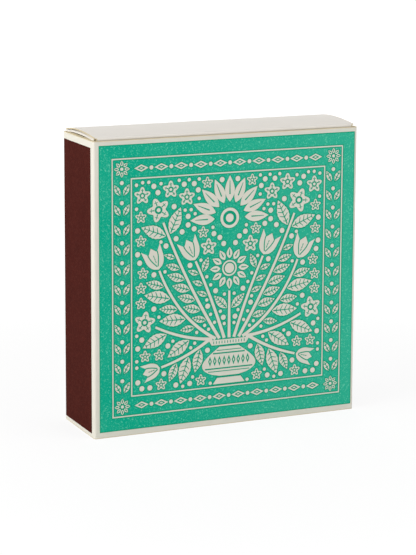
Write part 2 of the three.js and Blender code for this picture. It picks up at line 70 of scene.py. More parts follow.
def amount(name, description, default):
    """A plain number that a user can change."""
    return bpy.props.FloatProperty(name=name, description=description, default=default, min=0)


def linear(*screen):
    """Linear colour from screen values of 0 to 255."""
    screen = np.array(screen) / 255
    return tuple(np.where(screen <= 0.04045, screen / 12.92, ((screen + 0.055) / 1.055) ** 2.4).tolist())


def colour(name, description, *screen):
    """A colour that a user can change, given by its screen values."""
    return bpy.props.FloatVectorProperty(
        name=name, description=description, default=linear(*screen),
        min=0, max=1, size=3, subtype="COLOR",
    )


class CardSettings(bpy.types.PropertyGroup):
    sleeve_card: length("Sleeve card", "Thickness of the sleeve's card", 0.5)
    sleeve_fold: length("Sleeve fold", "Outer radius of the sleeve's folded corners", 0.9)
    lap_width: length("Lap", "Width of the glued lap", 13)
    tray_card: length("Tray card", "Thickness of the tray's card", 0.4)
    tray_fold: length("Tray fold", "Outer radius of the tray's folded corners", 0.6)
    layer_gap: length("Layer gap", "Gap between the layers of an end wall", 0.12)
    tab_reach: length("Tab reach", "How far a corner tab reaches in", 22)
    end_crown: length("End crown", "How far the outer layer of an end bows out", 1)
    tab_crown: length("Tab crown", "How far the tabs bow out", 0.7)
    crown_skew: amount("Crown skew", "How much the bow leans towards the back", 0.25)
    spring: length("Roll spring", "How far the roll of an end wall stands forward", 0.27)
    soften: length("Soft edge", "Radius of the card's cut edges", 0.07)
    sleeve_colour: colour("Sleeve colour", "White of the sleeve's face", 233, 229, 216)
    tray_colour: colour("Tray colour", "White of the tray's face", 234, 229, 221)
    edge_colour: colour("Cut edge colour", "Cream of the card's cut edges", 228, 213, 176)


class PrintSettings(bpy.types.PropertyGroup):
    ink_depth: length("Ink depth", "Thickness of the printed ink", 0.04)
    rim_width: length("Rim width", "Width of the denser ink along the edges", 0.38)
    rule_width: length("Rule width", "Width of the two ruled frames", 0.5)
    outer_inset: length("Outer inset", "From the edge of the ink to the outer rule", 5.2)
    border_width: length("Border width", "From the outer rule to the inner rule", 7.4)
    border_pitch: length("Border pitch", "Distance between ornaments of the border", 7.6)
    rosette_radius: length("Rosette radius", "Radius of the corner flowers", 3.1)
    crest_radius: length("Crest radius", "Radius of the fan of petals", 16)
    urn_height: length("Urn height", "Height of the urn", 17)
    urn_width: length("Urn width", "Width of the urn", 22)
    stem_width: length("Stem width", "Width of the stems", 1.1)
    leaf_length: length("Leaf length", "Length of the largest leaves", 10.5)
    leaf_width: length("Leaf width", "Width of the largest leaves", 5)
    leaf_spacing: length("Leaf spacing", "From leaf pair to leaf pair", 4.6)
    ink_colour: colour("Ink", "Green of the printed ink", 0, 179, 145)
    ink_dense: colour("Dense ink", "Green where the ink has gathered", 0, 160, 121)
    ink_thin: colour("Thin ink", "Green where the card shows through", 102, 214, 181)


class CoatSettings(bpy.types.PropertyGroup):
    coat_colour: colour("Coat", "Brown of the striking coats", 70, 21, 14)
    grit_colour: colour("Grit", "Paler grit in the striking coats", 100, 46, 36)
    grit_size: length("Grit size", "Size of the coat's grains", 0.16)


class MatchSettings(bpy.types.PropertyGroup):
    wood_colour: colour("Wood", "Pale wood of the splints", 240, 218, 180)
    grain_colour: colour("Grain", "Darker grain of the splints", 216, 184, 138)
    head_colour: colour("Head", "Colour of the dipped heads", 126, 44, 34)
    layers: bpy.props.IntProperty(
        name="Rear layers", description="Layers behind the front one", default=4, min=1
    )
    layer_pitch: length("Layer pitch", "Distance between two layers", 3.8)


class StageSettings(bpy.types.PropertyGroup):
    key: amount("Key light", "Power of the light at the left", 4.3)
    top: amount("Top light", "Power of the light overhead", 1.25)
    fill: amount("Fill light", "Power of the light in front", 1.5)
    back: amount("Back light", "Power of the light behind", 2)
    sky: amount("Sky", "Strength of the light from all round", 0.34)
    floor_colour: colour("Floor", "Colour of the floor", 200, 200, 200)


# Meshes from grids of points


class Shell:
    """Grids of points and single faces, collected into one mesh with values on its points."""

    def __init__(self):
        self.points, self.faces, self.values, self.count = [], [], {}, 0

    def grid(self, points, around=False, along=False, **values):
        """Adds a grid, rows by columns. It closes round its columns (around) or its rows (along)."""
        rows, columns = points.shape[:2]
        index = np.arange(rows * columns).reshape(rows, columns) + self.count
        down = index if along else index[:-1]
        after = np.roll(index, -1, 0) if along else index[1:]
        pick = slice(None) if around else slice(0, -1)
        ring = lambda a: np.roll(a, -1, 1)[:, pick]
        quads = np.stack([down[:, pick], ring(down), ring(after), after[:, pick]], -1)
        self.faces += quads.reshape(-1, 4).tolist()
        self.points.append(points.reshape(-1, 3))
        self.count += rows * columns
        for name, value in values.items():
            self.values.setdefault(name, []).append(np.broadcast_to(value, (rows, columns)).ravel())
        return index

    def tube(self, points, **values):
        """Adds a grid closed round its columns, with one face over each end."""
        index = self.grid(points, around=True, **values)
        self.faces += [index[0][::-1].tolist(), index[-1].tolist()]

    def mesh(self, name, crease=math.radians(32)):
        """The finished mesh, smooth but for edges sharper than the crease."""
        made = bpy.data.meshes.new(name)
        made.from_pydata(np.concatenate(self.points), [], self.faces)
        for key, parts in self.values.items():
            layer = made.attributes.new(key, "FLOAT", "POINT")
            layer.data.foreach_set("value", np.concatenate(parts).astype(np.float32))
        made.polygons.foreach_set("use_smooth", np.ones(len(made.polygons), bool))
        made.set_sharp_from_angle(angle=crease)
        made.update()
        return made


def place_piece(name, mesh, material, body, slot, *nodes):
    """Links a finished mesh as a piece that rides a body and stands for CAD nodes."""
    made = bpy.data.objects.new(name, mesh)
    bpy.context.scene.collection.objects.link(made)
    mesh.materials.clear()
    mesh.materials.append(material)
    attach(made, body)
    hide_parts(*nodes)


def box(node):
    """The lower and upper corner of a CAD node's box."""
    return np.array([list(corner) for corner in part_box(node)])


def dress(node, material):
    """Gives a CAD node its material."""
    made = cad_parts[node]
    made.data.materials.clear()
    made.data.materials.append(material)


# Shader maths


class Value:
    """A socket of a node tree, with arithmetic that makes Math nodes."""

    def __init__(self, shader, socket):
        self.shader, self.socket = shader, socket

    def math(self, operation, *others, clamp=False):
        sockets = dict(enumerate((self, *others)))
        return self.shader.node("ShaderNodeMath", dict(operation=operation, use_clamp=clamp), sockets)

    def __add__(self, other):
        return self.math("ADD", other)

    def __sub__(self, other):
        return self.math("SUBTRACT", other)

    def __mul__(self, other):
        return self.math("MULTIPLY", other)

    def __radd__(self, other):
        return self + other

    def __rsub__(self, other):
        return self * -1 + other

    def __rmul__(self, other):
        return self * other

    def between(self, low, high):
        """0 at low and below, 1 at high and above, smooth between."""
        settings = dict(interpolation_type="SMOOTHSTEP")
        sockets = {"Value": self, "From Min": low, "From Max": high}
        return self.shader.node("ShaderNodeMapRange", settings, sockets)


class Shader:
    """One material's node tree."""

    def __init__(self, name, tree=None):
        if tree is None:
            self.material = bpy.data.materials.new(name)
            self.material.use_nodes = True
            tree = self.material.node_tree
        self.tree = tree
        tree.nodes.clear()

    def node(self, kind, settings=None, sockets=None, output=0):
        """Makes a node: its type, then its settings, then its sockets. Gives back one output."""
        made = self.tree.nodes.new(kind)
        for key, value in (settings or {}).items():
            setattr(made, key, value)
        for key, value in (sockets or {}).items():
            if isinstance(value, Value):
                self.tree.links.new(value.socket, made.inputs[key])
            elif made.inputs[key].type == "RGBA":
                made.inputs[key].default_value = (*value, 1)
            else:
                made.inputs[key].default_value = value
        return Value(self, made.outputs[output]) if made.outputs else made

    def place(self, scale=(1, 1, 1)):
        """The point on the object, stretched."""
        at = self.node("ShaderNodeTexCoord", output="Object")
        return self.node("ShaderNodeMapping", None, {"Vector": at, "Scale": scale})

    def noise(self, size, detail=2, rough=0.5, stretch=(1, 1, 1)):
        """Noise from 0 to 1 with features of a size in metres."""
        sockets = {"Vector": self.place(stretch), "Scale": 1 / size, "Detail": detail, "Roughness": rough}
        return self.node("ShaderNodeTexNoise", dict(normalize=True), sockets)

    def cells(self, size, stretch=(1, 1, 1)):
        """Distance from the nearest of scattered points, in shares of a size in metres."""
        return self.node("ShaderNodeTexVoronoi", None, {"Vector": self.place(stretch), "Scale": 1 / size})

    def value(self, name):
        """A value that the mesh carries."""
        return self.node("ShaderNodeAttribute", dict(attribute_name=name), output="Fac")

    def axis(self, name):
        """One coordinate of the point on the object."""
        at = self.node("ShaderNodeTexCoord", output="Object")
        return self.node("ShaderNodeSeparateXYZ", None, {0: at}, output=name)

    def mix(self, share, first, second):
        """A colour between two. The colour slots of the node come after those of its other kinds."""
        return self.node("ShaderNodeMix", dict(data_type="RGBA"), {0: share, 6: first, 7: second}, 2)

    def finish(self, base, rough, shine, height, depth):
        """The surface: its colour, roughness and specular level, and a bump from a height of 0 to 1 that
        stands for a depth in metres."""
        bump = self.node("ShaderNodeBump", None, {"Height": height, "Distance": depth, "Strength": 1})
        sockets = {"Base Color": base, "Roughness": rough, "Specular IOR Level": shine, "Normal": bump}
        surface = self.node("ShaderNodeBsdfPrincipled", None, sockets)
        self.node("ShaderNodeOutputMaterial", None, {"Surface": surface})
        return self.material


def card_material(name, face, edge):
    """Coated white card: faint mottling, fine fibres, and a cream cut edge with its layers."""
    made = Shader(name)
    cloud = made.noise(6 * MM, 3, 0.6)
    fibre = made.noise(0.22 * MM, 2, 0.6)
    layers = made.noise(0.09 * MM, 1, 0.5)
    cut = made.value("edge")
    pale = made.mix(cloud.between(0.25, 0.75) * 0.5, face, face * 0.955)
    flecked = made.mix(fibre.between(0.62, 0.8) * 0.25, pale, face * 0.86)
    rough = edge * 0.8
    raw = made.mix(layers.between(0.35, 0.65), edge, rough)
    base = made.mix(cut, flecked, raw)
    height = fibre * 0.6 + cloud * 0.4
    return made.finish(base, 0.62, 0.35, height, 0.012 * MM)


def ink_material(settings):
    """Flat printing ink: worm-like mottling where it lies thin, denser along every edge, and paler towards
    the right.
    """
    made = Shader("print_ink")
    worms = made.noise(0.68 * MM, 3, 0.6)
    grain = made.noise(0.3 * MM, 1, 0.5)
    cloud = made.noise(14 * MM, 2, 0.5)
    # Paler towards the right: a share that rises along X is added to the pale mottling.
    rightward_pale = made.axis("X").between(-0.05, 0.09)
    rim = made.value("rim")
    mottle = worms.between(0.57, 0.68) * 0.9 + grain.between(0.59, 0.72) * 0.5 + rightward_pale * 0.24
    thin = (mottle * (1 - rim * 0.85)).math("MINIMUM", 0.9)
    pale = settings.ink_thin
    body = made.mix(cloud.between(0.3, 0.7) * 0.08, settings.ink_colour, pale)
    base = made.mix(thin, made.mix(rim * 0.8, body, settings.ink_dense), pale)
    height = worms * 0.5 + grain * 0.5
    return made.finish(base, 0.6, 0.08, height, 0.01 * MM)


def coat_material(settings):
    """Striking coat: a dark ground full of fine grit, with a few pale specks and hairline scratches."""
    made = Shader("striker_coat")
    size = settings.grit_size
    grit = made.cells(size)
    cloud = made.noise(9 * MM, 3, 0.6)
    speck = made.cells(3.1 * MM)
    scratch = made.noise(3.5 * MM, 2, 0.5, (1, 1.6, 0.22))
    line = (1 - (scratch - 0.5).math("ABSOLUTE") * 90).math("MAXIMUM", 0)
    patch = made.noise(15 * MM, 1, 0.5).between(0.56, 0.66)
    clump = made.noise(0.7 * MM, 2, 0.6).between(0.42, 0.7)
    ground = settings.coat_colour
    pale = settings.grit_colour
    mottled = made.mix(cloud.between(0.3, 0.7) * 0.5, ground, ground * 0.78)
    gritty = made.mix((1 - grit.between(0.1, 0.45)) * 0.26 + clump * 0.36, mottled, pale)
    dotted = made.mix((1 - speck.between(0.02, 0.055)) * 0.5, gritty, pale)
    base = made.mix(line * patch * 0.4, dotted, pale)
    height = 1 - grit.between(0.1, 0.6)
    return made.finish(base, 0.85, 0.1, height, 0.03 * MM)


def wood_material(settings):
    """Splint wood: long grain along the splint, a tone of its own for each splint."""
    made = Shader("match_wood")
    grain = made.noise(0.5 * MM, 3, 0.6, (1, 1, 0.04))
    pores = made.noise(0.14 * MM, 1, 0.5, (1, 1, 0.06))
    tone = made.value("tone")
    share = grain.between(0.3, 0.75) * 0.55 + pores.between(0.6, 0.75) * 0.35 + tone * 0.3 - 0.15
    share = share.math("MAXIMUM", 0, clamp=True)
    base = made.mix(share, settings.wood_colour, settings.grain_colour)
    height = grain * 0.6 + pores * 0.4
    return made.finish(base, 0.66, 0.3, height, 0.03 * MM)


def head_material(settings):
    """Dipped head: a dry, matt crust with fine grains."""
    made = Shader("match_head")
    grain = made.noise(0.28 * MM, 3, 0.7)
    cloud = made.noise(1.6 * MM, 1, 0.5)
    ground = settings.head_colour
    share = cloud.between(0.3, 0.7) * 0.5 + grain.between(0.5, 0.8) * 0.3
    base = made.mix(share, ground, ground * 0.66)
    return made.finish(base, 0.7, 0.3, grain, 0.06 * MM)


# Card folded from a strip


def mirror(outline):
    """An outline's mirror image from left to right, run the other way."""
    return (outline * [-1, 1])[::-1]


def arc(centre, radius, start, stop, count):
    """Points on an arc between two angles in quarter turns."""
    angle = np.linspace(start, stop, count) * math.pi / 2
    return np.array(centre) + radius * np.stack([np.cos(angle), np.sin(angle)], -1)


def spread(low, high, soften, count):
    """Stations from low to high, with extra ones close to both ends."""
    near = min(6 * soften, (high - low) / 8)
    return np.concatenate([[low + soften], np.linspace(low + near, high - near, count), [high - soften]])


def card_ring(low, high, thickness, soften, count):
    """A card's section seen along its fold: a rounded oblong, as place across and height over its middle."""
    half = thickness / 2
    u = spread(low, high, soften, count)
    end = arc((high - soften, half - soften), soften, 1, 0, 4)[1:]
    under = arc((high - soften, soften - half), soften, 0, -1, 4)[:-1]
    upper = np.concatenate([np.stack([u, np.full_like(u, half)], -1), end])
    middle = (low + high) / 2
    lower = np.concatenate([under, np.stack([u, np.full_like(u, -half)], -1)[::-1]])
    near = np.concatenate([end, under]) * [-1, 1] + [2 * middle, 0]
    return np.concatenate([upper, lower, near[::-1]])


def fold_card(shell, path, low, high, thickness, soften, lay, count=8):
    """A strip of card along a path, seen from its edge. The section is carried along the path on the
    path's normal, and lay(a, b, u) puts the path's two coordinates and the place across in space."""
    step = np.gradient(path, axis=0)
    step /= np.linalg.norm(step, axis=1)[:, None]
    normal = np.stack([-step[:, 1], step[:, 0]], -1)
    ring = card_ring(low, high, thickness, soften, count)
    centre = path[:, None] + normal[:, None] * ring[None, :, 1, None]
    points = lay(centre[..., 0], centre[..., 1], np.broadcast_to(ring[:, 0], centre.shape[:2]))
    inset = np.minimum(ring[:, 0] - low, high - ring[:, 0]) < 1.01 * soften
    shell.tube(points, edge=inset.astype(float))


def sleeve_mesh(settings):
    """The sleeve: its section is a pair of matching loops, outside and inside, with folded corners and a
    lap at the right. A rounded oblong is carried round between the two, along the sleeve's height."""
    low, high = box("sleeve")
    x, r, card = (high[0] - low[0]) / 2, settings.sleeve_fold, settings.sleeve_card
    y = (high[1] - low[1]) / 2
    inner = max(r - card, 0.05 * MM)
    count, lead = 7, 1.2 * MM
    lap = y - settings.lap_width

    def side(points):
        """Adds a point a little before and after each arc, so that the flat panels stay flat."""
        whole = []
        for number, part in enumerate(points):
            whole.append(part)
            to = points[(number + 1) % len(points)][0] - part[-1]
            reach = np.linalg.norm(to)
            share = min(lead / max(reach, 1e-9), 0.3)
            whole.append(part[-1] + to * np.array([[share], [1 - share]]))
        return np.concatenate(whole)

    def loop(x, y, r, step, rise):
        """One loop of the section, which steps in at the right where the lap begins."""

        def corner(sx, sy, start):
            return arc((sx * (x - r), sy * (y - r)), r, start, start + 1, count)

        return side([
            corner(1, -1, -1),
            np.array([[x, lap], [x - step, lap]]),
            np.array(rise),
            arc((x - card - r, y - r), r, 0, 1, count),
            corner(-1, 1, 1),
            corner(-1, -1, 2),
        ])

    outer = loop(x, y, r, 0, [[x, y - r], [x - card, y - r]])
    wide, deep = x - card, y - card
    seam = wide - card
    inside = loop(wide, deep, inner, card, [[seam, deep - 3 * inner], [seam, deep - 2 * inner]])
    centre = (low + high) / 2
    b = settings.soften
    ring = card_ring(low[2], high[2], card, b, 10)
    share = (0.5 - ring[:, 1] / card)[:, None, None]
    level = outer + (inside - outer) * share
    height = np.broadcast_to(ring[:, :1], level.shape[:2])
    points = np.concatenate([level + centre[:2], height[..., None]], -1)
    cut = (np.minimum(ring[:, 0] - low[2], high[2] - ring[:, 0]) < 1.01 * b).astype(float)
    shell = Shell()
    shell.grid(points, around=True, along=True, edge=cut[:, None])
    return shell.mesh("sleeve_wrap")


def tray_mesh(settings):
    """The tray: a trough of floor and side walls, a tab folded in at each corner, and at each end a wall
    that rises from the floor, bows out, rolls over the tabs and comes back inside. The bow follows
    crown * (1 - s * s) * (1 + skew * s), where s runs from -1 at the front to 1 at the back."""
    low, high = box("tray")
    width, depth = high[0] - low[0], high[1] - low[1]
    card, r, gap, b = settings.tray_card, settings.tray_fold, settings.layer_gap, settings.soften
    flat = depth / 2 - r

    def bow(y, crown):
        s = np.clip(y / flat, -1, 1)
        return crown * (1 - s * s) * (1 + settings.crown_skew * s)

    peak = bow(flat * np.linspace(-1, 1, 201), settings.end_crown).max()
    reach = high[2] - low[2] - 2 * peak
    foot = np.array([(low[0] + high[0]) / 2, (low[1] + high[1]) / 2, low[2] + peak])

    def seated(x, y, z):
        return np.stack(np.broadcast_arrays(x, y, z), -1) + foot

    shell = Shell()
    left, back, m = -width / 2, depth / 2, card / 2
    tab_low, tab_high = card + gap, reach - card - gap
    turn = r - m

    # Trough: one wall, the long fold, the floor, and the same again
    half = np.concatenate([
        [[left + m, -back + b], [left + m, -back + 2 * MM], [left + m, back - r - MM]],
        arc((left + r, back - r), turn, 2, 1, 6),
        [[left + r + MM, back - m]],
    ])
    path = np.concatenate([half, mirror(half)])

    def trough(a, y, z):
        at_end = np.where(z > reach / 2, 1, -1) * (np.minimum(z - tab_low - r, tab_high - r - z) < b)
        return seated(a, y, z + at_end * bow(y, settings.tab_crown))

    fold_card(shell, path, tab_low + r, tab_high - r, card, b, trough)

    # Tabs: up the end of a side wall, round the fold and inwards
    front = -back + card * 1.5 + 2 * gap
    for side in (-1, 1):
        for end in (-1, 1):
            climb = np.concatenate([
                [[left + m, tab_high - r - 2 * b], [left + m, tab_high - r - b]],
                arc((left + r, tab_high - r), turn, 2, 1, 7),
                [[left + r + MM, tab_high - m], [left + settings.tab_reach, tab_high - m]],
            ])

            def tab(a, z, y):
                up = z + bow(y, settings.tab_crown)
                return seated(a * -side, y, up if end > 0 else reach - up)

            fold_card(shell, climb, front, back - r, card, b, tab, 14)

    # End walls: a cover over the whole width, then a narrower roll that returns inside
    level = reach - m
    roll = card + gap
    roll_y = -back + roll + m - settings.spring
    y = np.linspace(back - r, roll_y, 25)[1:]
    cover = np.concatenate([
        arc((back - r, reach - r), turn, 0, 1, 6),
        np.stack([y, level + bow(y, settings.end_crown)], -1),
        arc((roll_y, level - roll), roll, 1, 1.5, 5)[1:],
    ])
    play = 0.4 * MM
    narrow = -left - card - play
    inward = np.linspace(roll_y, back - card - play, 16)[1:]
    lining = np.concatenate([
        arc((roll_y, level - roll), roll, 1.4, 3, 10),
        np.stack([inward, level - 2 * roll + bow(inward, settings.tab_crown)], -1),
    ])
    for end in (-1, 1):

        def wall(a, z, x):
            return seated(x, a, z if end > 0 else reach - z)

        fold_card(shell, cover, left, -left, card, b, wall, 12)
        fold_card(shell, lining, -narrow, narrow, card * 0.96, b, wall, 12)
    return shell.mesh("folded_tray")


# Matches


def add_splint(shell, low, high, seed):
    """One splint: a square section with broken edges, carried up its length with a slight waver."""
    rng = np.random.default_rng(seed)
    centre, half = (low + high) / 2, (high - low) / 2
    turn = (np.arange(16) + 0.5) * TAU / 16
    ring = np.stack([np.cos(turn), np.sin(turn)], -1)
    ring /= np.abs(ring).max(1)[:, None] ** 0.82
    ring *= 0.985 / np.abs(ring).max()
    t = np.linspace(0, 1, 9)[:, None]
    waver = 0.05 * MM * np.sin(TAU * (t * rng.uniform(0.3, 1, 2) + rng.random(2)))
    room = 1 - 0.05 * MM / half[:2]
    flat = centre[:2] + waver[:, None] + ring * half[:2] * room
    tall = np.broadcast_to((low[2] + t * (high[2] - low[2]))[:, None], (9, 16, 1))
    shell.tube(np.concatenate([flat, tall], -1), tone=rng.random())


def add_head(shell, low, high, seed):
    """One dipped head: radius * sqrt(sin(pi * (0.16 + 0.84 * t))) over its height, roughened, with a few
    long waves round it."""
    rng = np.random.default_rng(seed)
    centre, radius = (low + high) / 2, (high - low)[:2].min() / 2
    t = np.linspace(0, 1, 15)[:, None]
    turn = np.arange(20) * TAU / 20
    wave = sum(rng.uniform(-1, 1) * np.cos(k * turn + rng.uniform(0, TAU) + 2 * t) for k in (1, 2, 3)) / 3
    sink = 0.965 + 0.035 * wave
    swell = np.sqrt(np.sin(math.pi * (0.16 + 0.84 * np.minimum(t, 0.9999))))
    across = radius * swell * sink
    tall = low[2] + t * (high[2] - low[2]) * np.ones(20)
    points = np.stack([centre[0] + across * np.cos(turn), centre[1] + across * np.sin(turn), tall], -1)
    shell.tube(points, tone=rng.random())


# Outlines of the print, in millimetres about the middle of the field


def unit(angle):
    return np.array([math.cos(angle), math.sin(angle)])


def placed(outline, at, angle=0.0):
    c, s = math.cos(angle), math.sin(angle)
    return np.asarray(outline, float) @ np.array([[c, s], [-s, c]]) + at


def polar(count, radius):
    """A closed outline from a radius as a function of the angle."""
    angle = np.arange(count) * TAU / count
    reach = radius(angle) * np.ones(count)
    return np.stack([reach * np.cos(angle), reach * np.sin(angle)], -1)


def leaf(long, wide, count=12, teeth=0.0, grow=0.0):
    """A pointed oval along +x: half width sin(pi * t ** 0.85), notched by teeth, grown all round."""
    t = np.arange(1, count) / count
    half = wide / 2 * np.sin(math.pi * t**0.85) * (1 - teeth * ((t * 7) % 1.0)) + grow
    side = np.stack([t * long, half], -1)
    return np.vstack([[-1.6 * grow, 0], side * [1, -1], [long + 1.6 * grow, 0], side[::-1]])


def strip(points, wide):
    """A strip of a given width, which may change, along a line of points."""
    step = np.gradient(points, axis=0)
    step /= np.linalg.norm(step, axis=1)[:, None]
    off = np.stack([-step[:, 1], step[:, 0]], -1) * (np.broadcast_to(wide, len(points)) / 2)[:, None]
    return np.vstack([points - off, (points + off)[::-1]])


def tulip(tall, grow=0.0):
    """A cup with three tips that opens along +x."""
    t = np.linspace(0, 1, 8)
    cup = np.stack([0.62 * t, 0.42 * np.sin(math.pi / 2 * t**0.6)], -1)
    tips = np.array([[1, 0.45], [0.72, 0.2], [0.96, 0]])
    half = np.vstack([cup, tips]) * tall
    whole = np.vstack([half * [1, -1], half[1:-1][::-1]])
    if grow:
        middle = np.array([0.5 * tall, 0])
        whole = middle + (whole - middle) * (1 + 2.2 * grow / tall)
    return whole


def oblong(half, at=(0, 0)):
    return np.array([[-1, -1], [1, -1], [1, 1], [-1, 1]]) * half + at


def diamond(half):
    return np.array([[1, 0], [0, 1], [-1, 0], [0, -1]]) * half


class Print:
    """The ink, as outlines in layers: windows cut from the field, halos of denser ink round them, strokes
    of ink inside the windows, and windows again inside those. Rooms are discs that are taken up."""

    def __init__(self, settings, field):
        self.layers = {"window": [], "halo": [], "stroke": [], "core": []}
        self.rooms = np.zeros((0, 3))
        names = [name for name in PrintSettings.__annotations__ if not name.startswith("ink_")]
        for name in names:
            setattr(self, name, getattr(settings, name) / MM)
        self.field = np.array(field)
        self.outer = self.field - self.outer_inset
        self.inner = self.outer - self.border_width
        self.rim = self.rim_width

    def put(self, layer, outline, at=(0, 0), angle=0.0, both=False):
        """Adds an outline, and its mirror image if it is one of a pair."""
        made = placed(outline, at, angle)
        self.layers[layer].append(made)
        if both:
            self.layers[layer].append(mirror(made))

    def opening(self, outline, grown, at=(0, 0), angle=0.0, both=False):
        """Adds a window and the halo round it."""
        self.put("window", outline, at, angle, both)
        self.put("halo", grown, at, angle, both)

    def take(self, *discs):
        self.rooms = np.vstack([self.rooms, np.array(discs).reshape(-1, 3)])

    def free(self, discs, gap=0.4):
        """Whether discs keep clear of the rule and of all that is there."""
        discs = np.array(discs).reshape(-1, 3)
        edge = self.inner - self.rule_width / 2 - gap
        if np.any(np.abs(discs[:, :2]) + discs[:, 2:] >= edge):
            return False
        apart = np.linalg.norm(self.rooms[:, None, :2] - discs[None, :, :2], axis=2)
        return bool(np.all(apart > self.rooms[:, 2][:, None] + discs[None, :, 2] + gap))

    # Single ornaments

    def leaf(self, at, angle, long, wide, both):
        """A leaf with a toothed edge, a vein along it and side veins."""
        self.opening(leaf(long, wide, 22, 0.12), leaf(long, wide, 8, 0, self.rim), at, angle, both)
        spine = np.stack([np.linspace(0.05, 0.88, 6) * long, np.zeros(6)], -1)
        self.put("stroke", strip(spine, np.linspace(0.46, 0.22, 6)), at, angle, both)
        count = 5 if long > 7 else 4 if long > 5.5 else 2
        for t in (np.arange(count) + 0.9) / (count + 0.9):
            half = wide / 2 * math.sin(math.pi * t**0.85) * 0.74
            for way in (-1, 1):
                vein = np.array([[t * long, 0], [t * long + 0.6 * half, way * half]])
                self.put("stroke", strip(vein, (0.36, 0.22)), at, angle, both)

    def petal(self, at, angle, long, wide, both=False):
        self.opening(leaf(long, wide, 12), leaf(long, wide, 8, 0, self.rim), at, angle, both)
        line = np.stack([np.linspace(0.28, 0.8, 4) * long, np.zeros(4)], -1)
        self.put("stroke", strip(line, (0.5, 0.42, 0.32, 0.16)), at, angle, both)

    def disc(self, at, radius, both=False, layer="window"):
        self.put(layer, polar(24, lambda a: radius), at, 0.0, both)
        if layer == "window":
            self.put("halo", polar(16, lambda a: radius + self.rim), at, 0.0, both)

    def daisy(self, at, angle, radius, both):
        """Five round petals about a dotted middle, with a stroke up each petal."""
        round_petal = lambda a: radius * (0.8 + 0.2 * np.cos(5 * a))
        grown = polar(30, lambda a: round_petal(a) + self.rim)
        self.opening(polar(50, round_petal), grown, at, angle, both)
        if radius < 2:
            return
        self.put("stroke", polar(18, lambda a: 0.33 * radius), at, angle, both)
        self.put("core", polar(12, lambda a: 0.17 * radius), at, angle, both)
        for number in range(5):
            way = TAU * number / 5
            line = np.outer((0.36, 0.78), unit(way)) * radius
            self.put("stroke", strip(line, (0.42, 0.2)), at, angle, both)
            edge = placed([[0.62, -0.16], [0.62, 0.16]], (0, 0), way) * radius
            self.put("stroke", strip(edge, 0.22), at, angle, both)

    def tulip(self, at, angle, tall, both):
        self.opening(tulip(tall), tulip(tall, self.rim), at, angle, both)
        t = np.linspace(0, 1, 8)
        for way in (-1, 1):
            line = np.stack([0.14 + 0.62 * t, way * (0.02 + 0.2 * np.sin(math.pi / 2 * t))], -1) * tall
            self.put("stroke", strip(line, 0.4), at, angle, both)
        for high in (0.3, 0.42, 0.54):
            self.put("stroke", strip(np.array([[high, 0], [high + 0.1, 0]]) * tall, 0.3), at, angle, both)

    # Parts of the picture, in the order in which they take up room

    def frames(self):
        """Two ruled frames and, between them, leaf pairs up the sides, diamonds along the ends and a
        rosette in each corner."""
        w = self.rule_width / 2
        for half in (self.outer, self.inner):
            for way in (-1, 1):
                for layer, rim in (("window", 0), ("halo", self.rim)):
                    self.put(layer, oblong((half[0] + w + rim, w + rim), (0, way * half[1])))
                    self.put(layer, oblong((w + rim, half[1] - w + rim), (way * half[0], 0)))
        middle = (self.outer + self.inner) / 2
        count = np.maximum(1, np.round(2 * self.inner / self.border_pitch)).astype(int)
        pitch = 2 * self.inner / count
        for number in range(count[1]):
            foot = np.array([middle[0], (number + 0.2 - count[1] / 2) * pitch[1]])
            for lean in (-1, 1):
                root, angle = foot + [0.1 * lean * pitch[1], 0], math.pi / 2 - 0.5 * lean
                self.leaf(root, angle, 0.62 * pitch[1], 0.3 * pitch[1], True)
            self.disc(foot + [0, 0.62 * pitch[1]], 0.1 * pitch[0], True)
        for number in range(count[0]):
            x = (number + 0.5 - count[0] / 2) * pitch[0]
            for way in (-1, 1):
                at = np.array([x, way * middle[1]])
                size = np.array([0.36, 0.17]) * pitch[0]
                self.opening(diamond(size), diamond(size + [1.6 * self.rim, 1.2 * self.rim]), at)
                self.put("stroke", diamond(0.56 * size), at)
                self.put("core", diamond(0.26 * size), at)
                if number:
                    self.disc(at - [0.5 * pitch[0], 0], 0.1 * pitch[0])
        radius = self.rosette_radius
        for way in (-1, 1):
            at = middle * [1, way]
            self.disc(at, 0.2 * radius, True)
            for number in range(8):
                angle = TAU * number / 8
                self.petal(at + 0.34 * radius * unit(angle), angle, 0.66 * radius, 0.42 * radius, True)

    def leaf_rooms(self, root, angle, long, wide):
        """Four discs that cover a leaf."""
        shares = ((0.14, 0.28), (0.4, 0.5), (0.66, 0.4), (0.9, 0.15))
        return [(*(root + t * long * unit(angle)), r * wide) for t, r in shares]

    def crest(self):
        """A fan of nine petals over a ringed boss."""
        radius = self.crest_radius
        foot = np.array([0, self.inner[1] - radius - 2 * self.rule_width])
        long, wide, petals = 0.62 * radius, 4, 9
        for number in range(petals):
            angle = math.pi * number / (petals - 1)
            root = foot + (radius - long) * unit(angle)
            self.petal(root, angle, long, wide)
            self.take(*self.leaf_rooms(root, angle, long, wide))
        self.take((*foot, radius - long))
        self.disc(foot, 0.24 * radius)
        self.disc(foot, 0.17 * radius, layer="stroke")
        self.disc(foot, 0.1 * radius, layer="core")

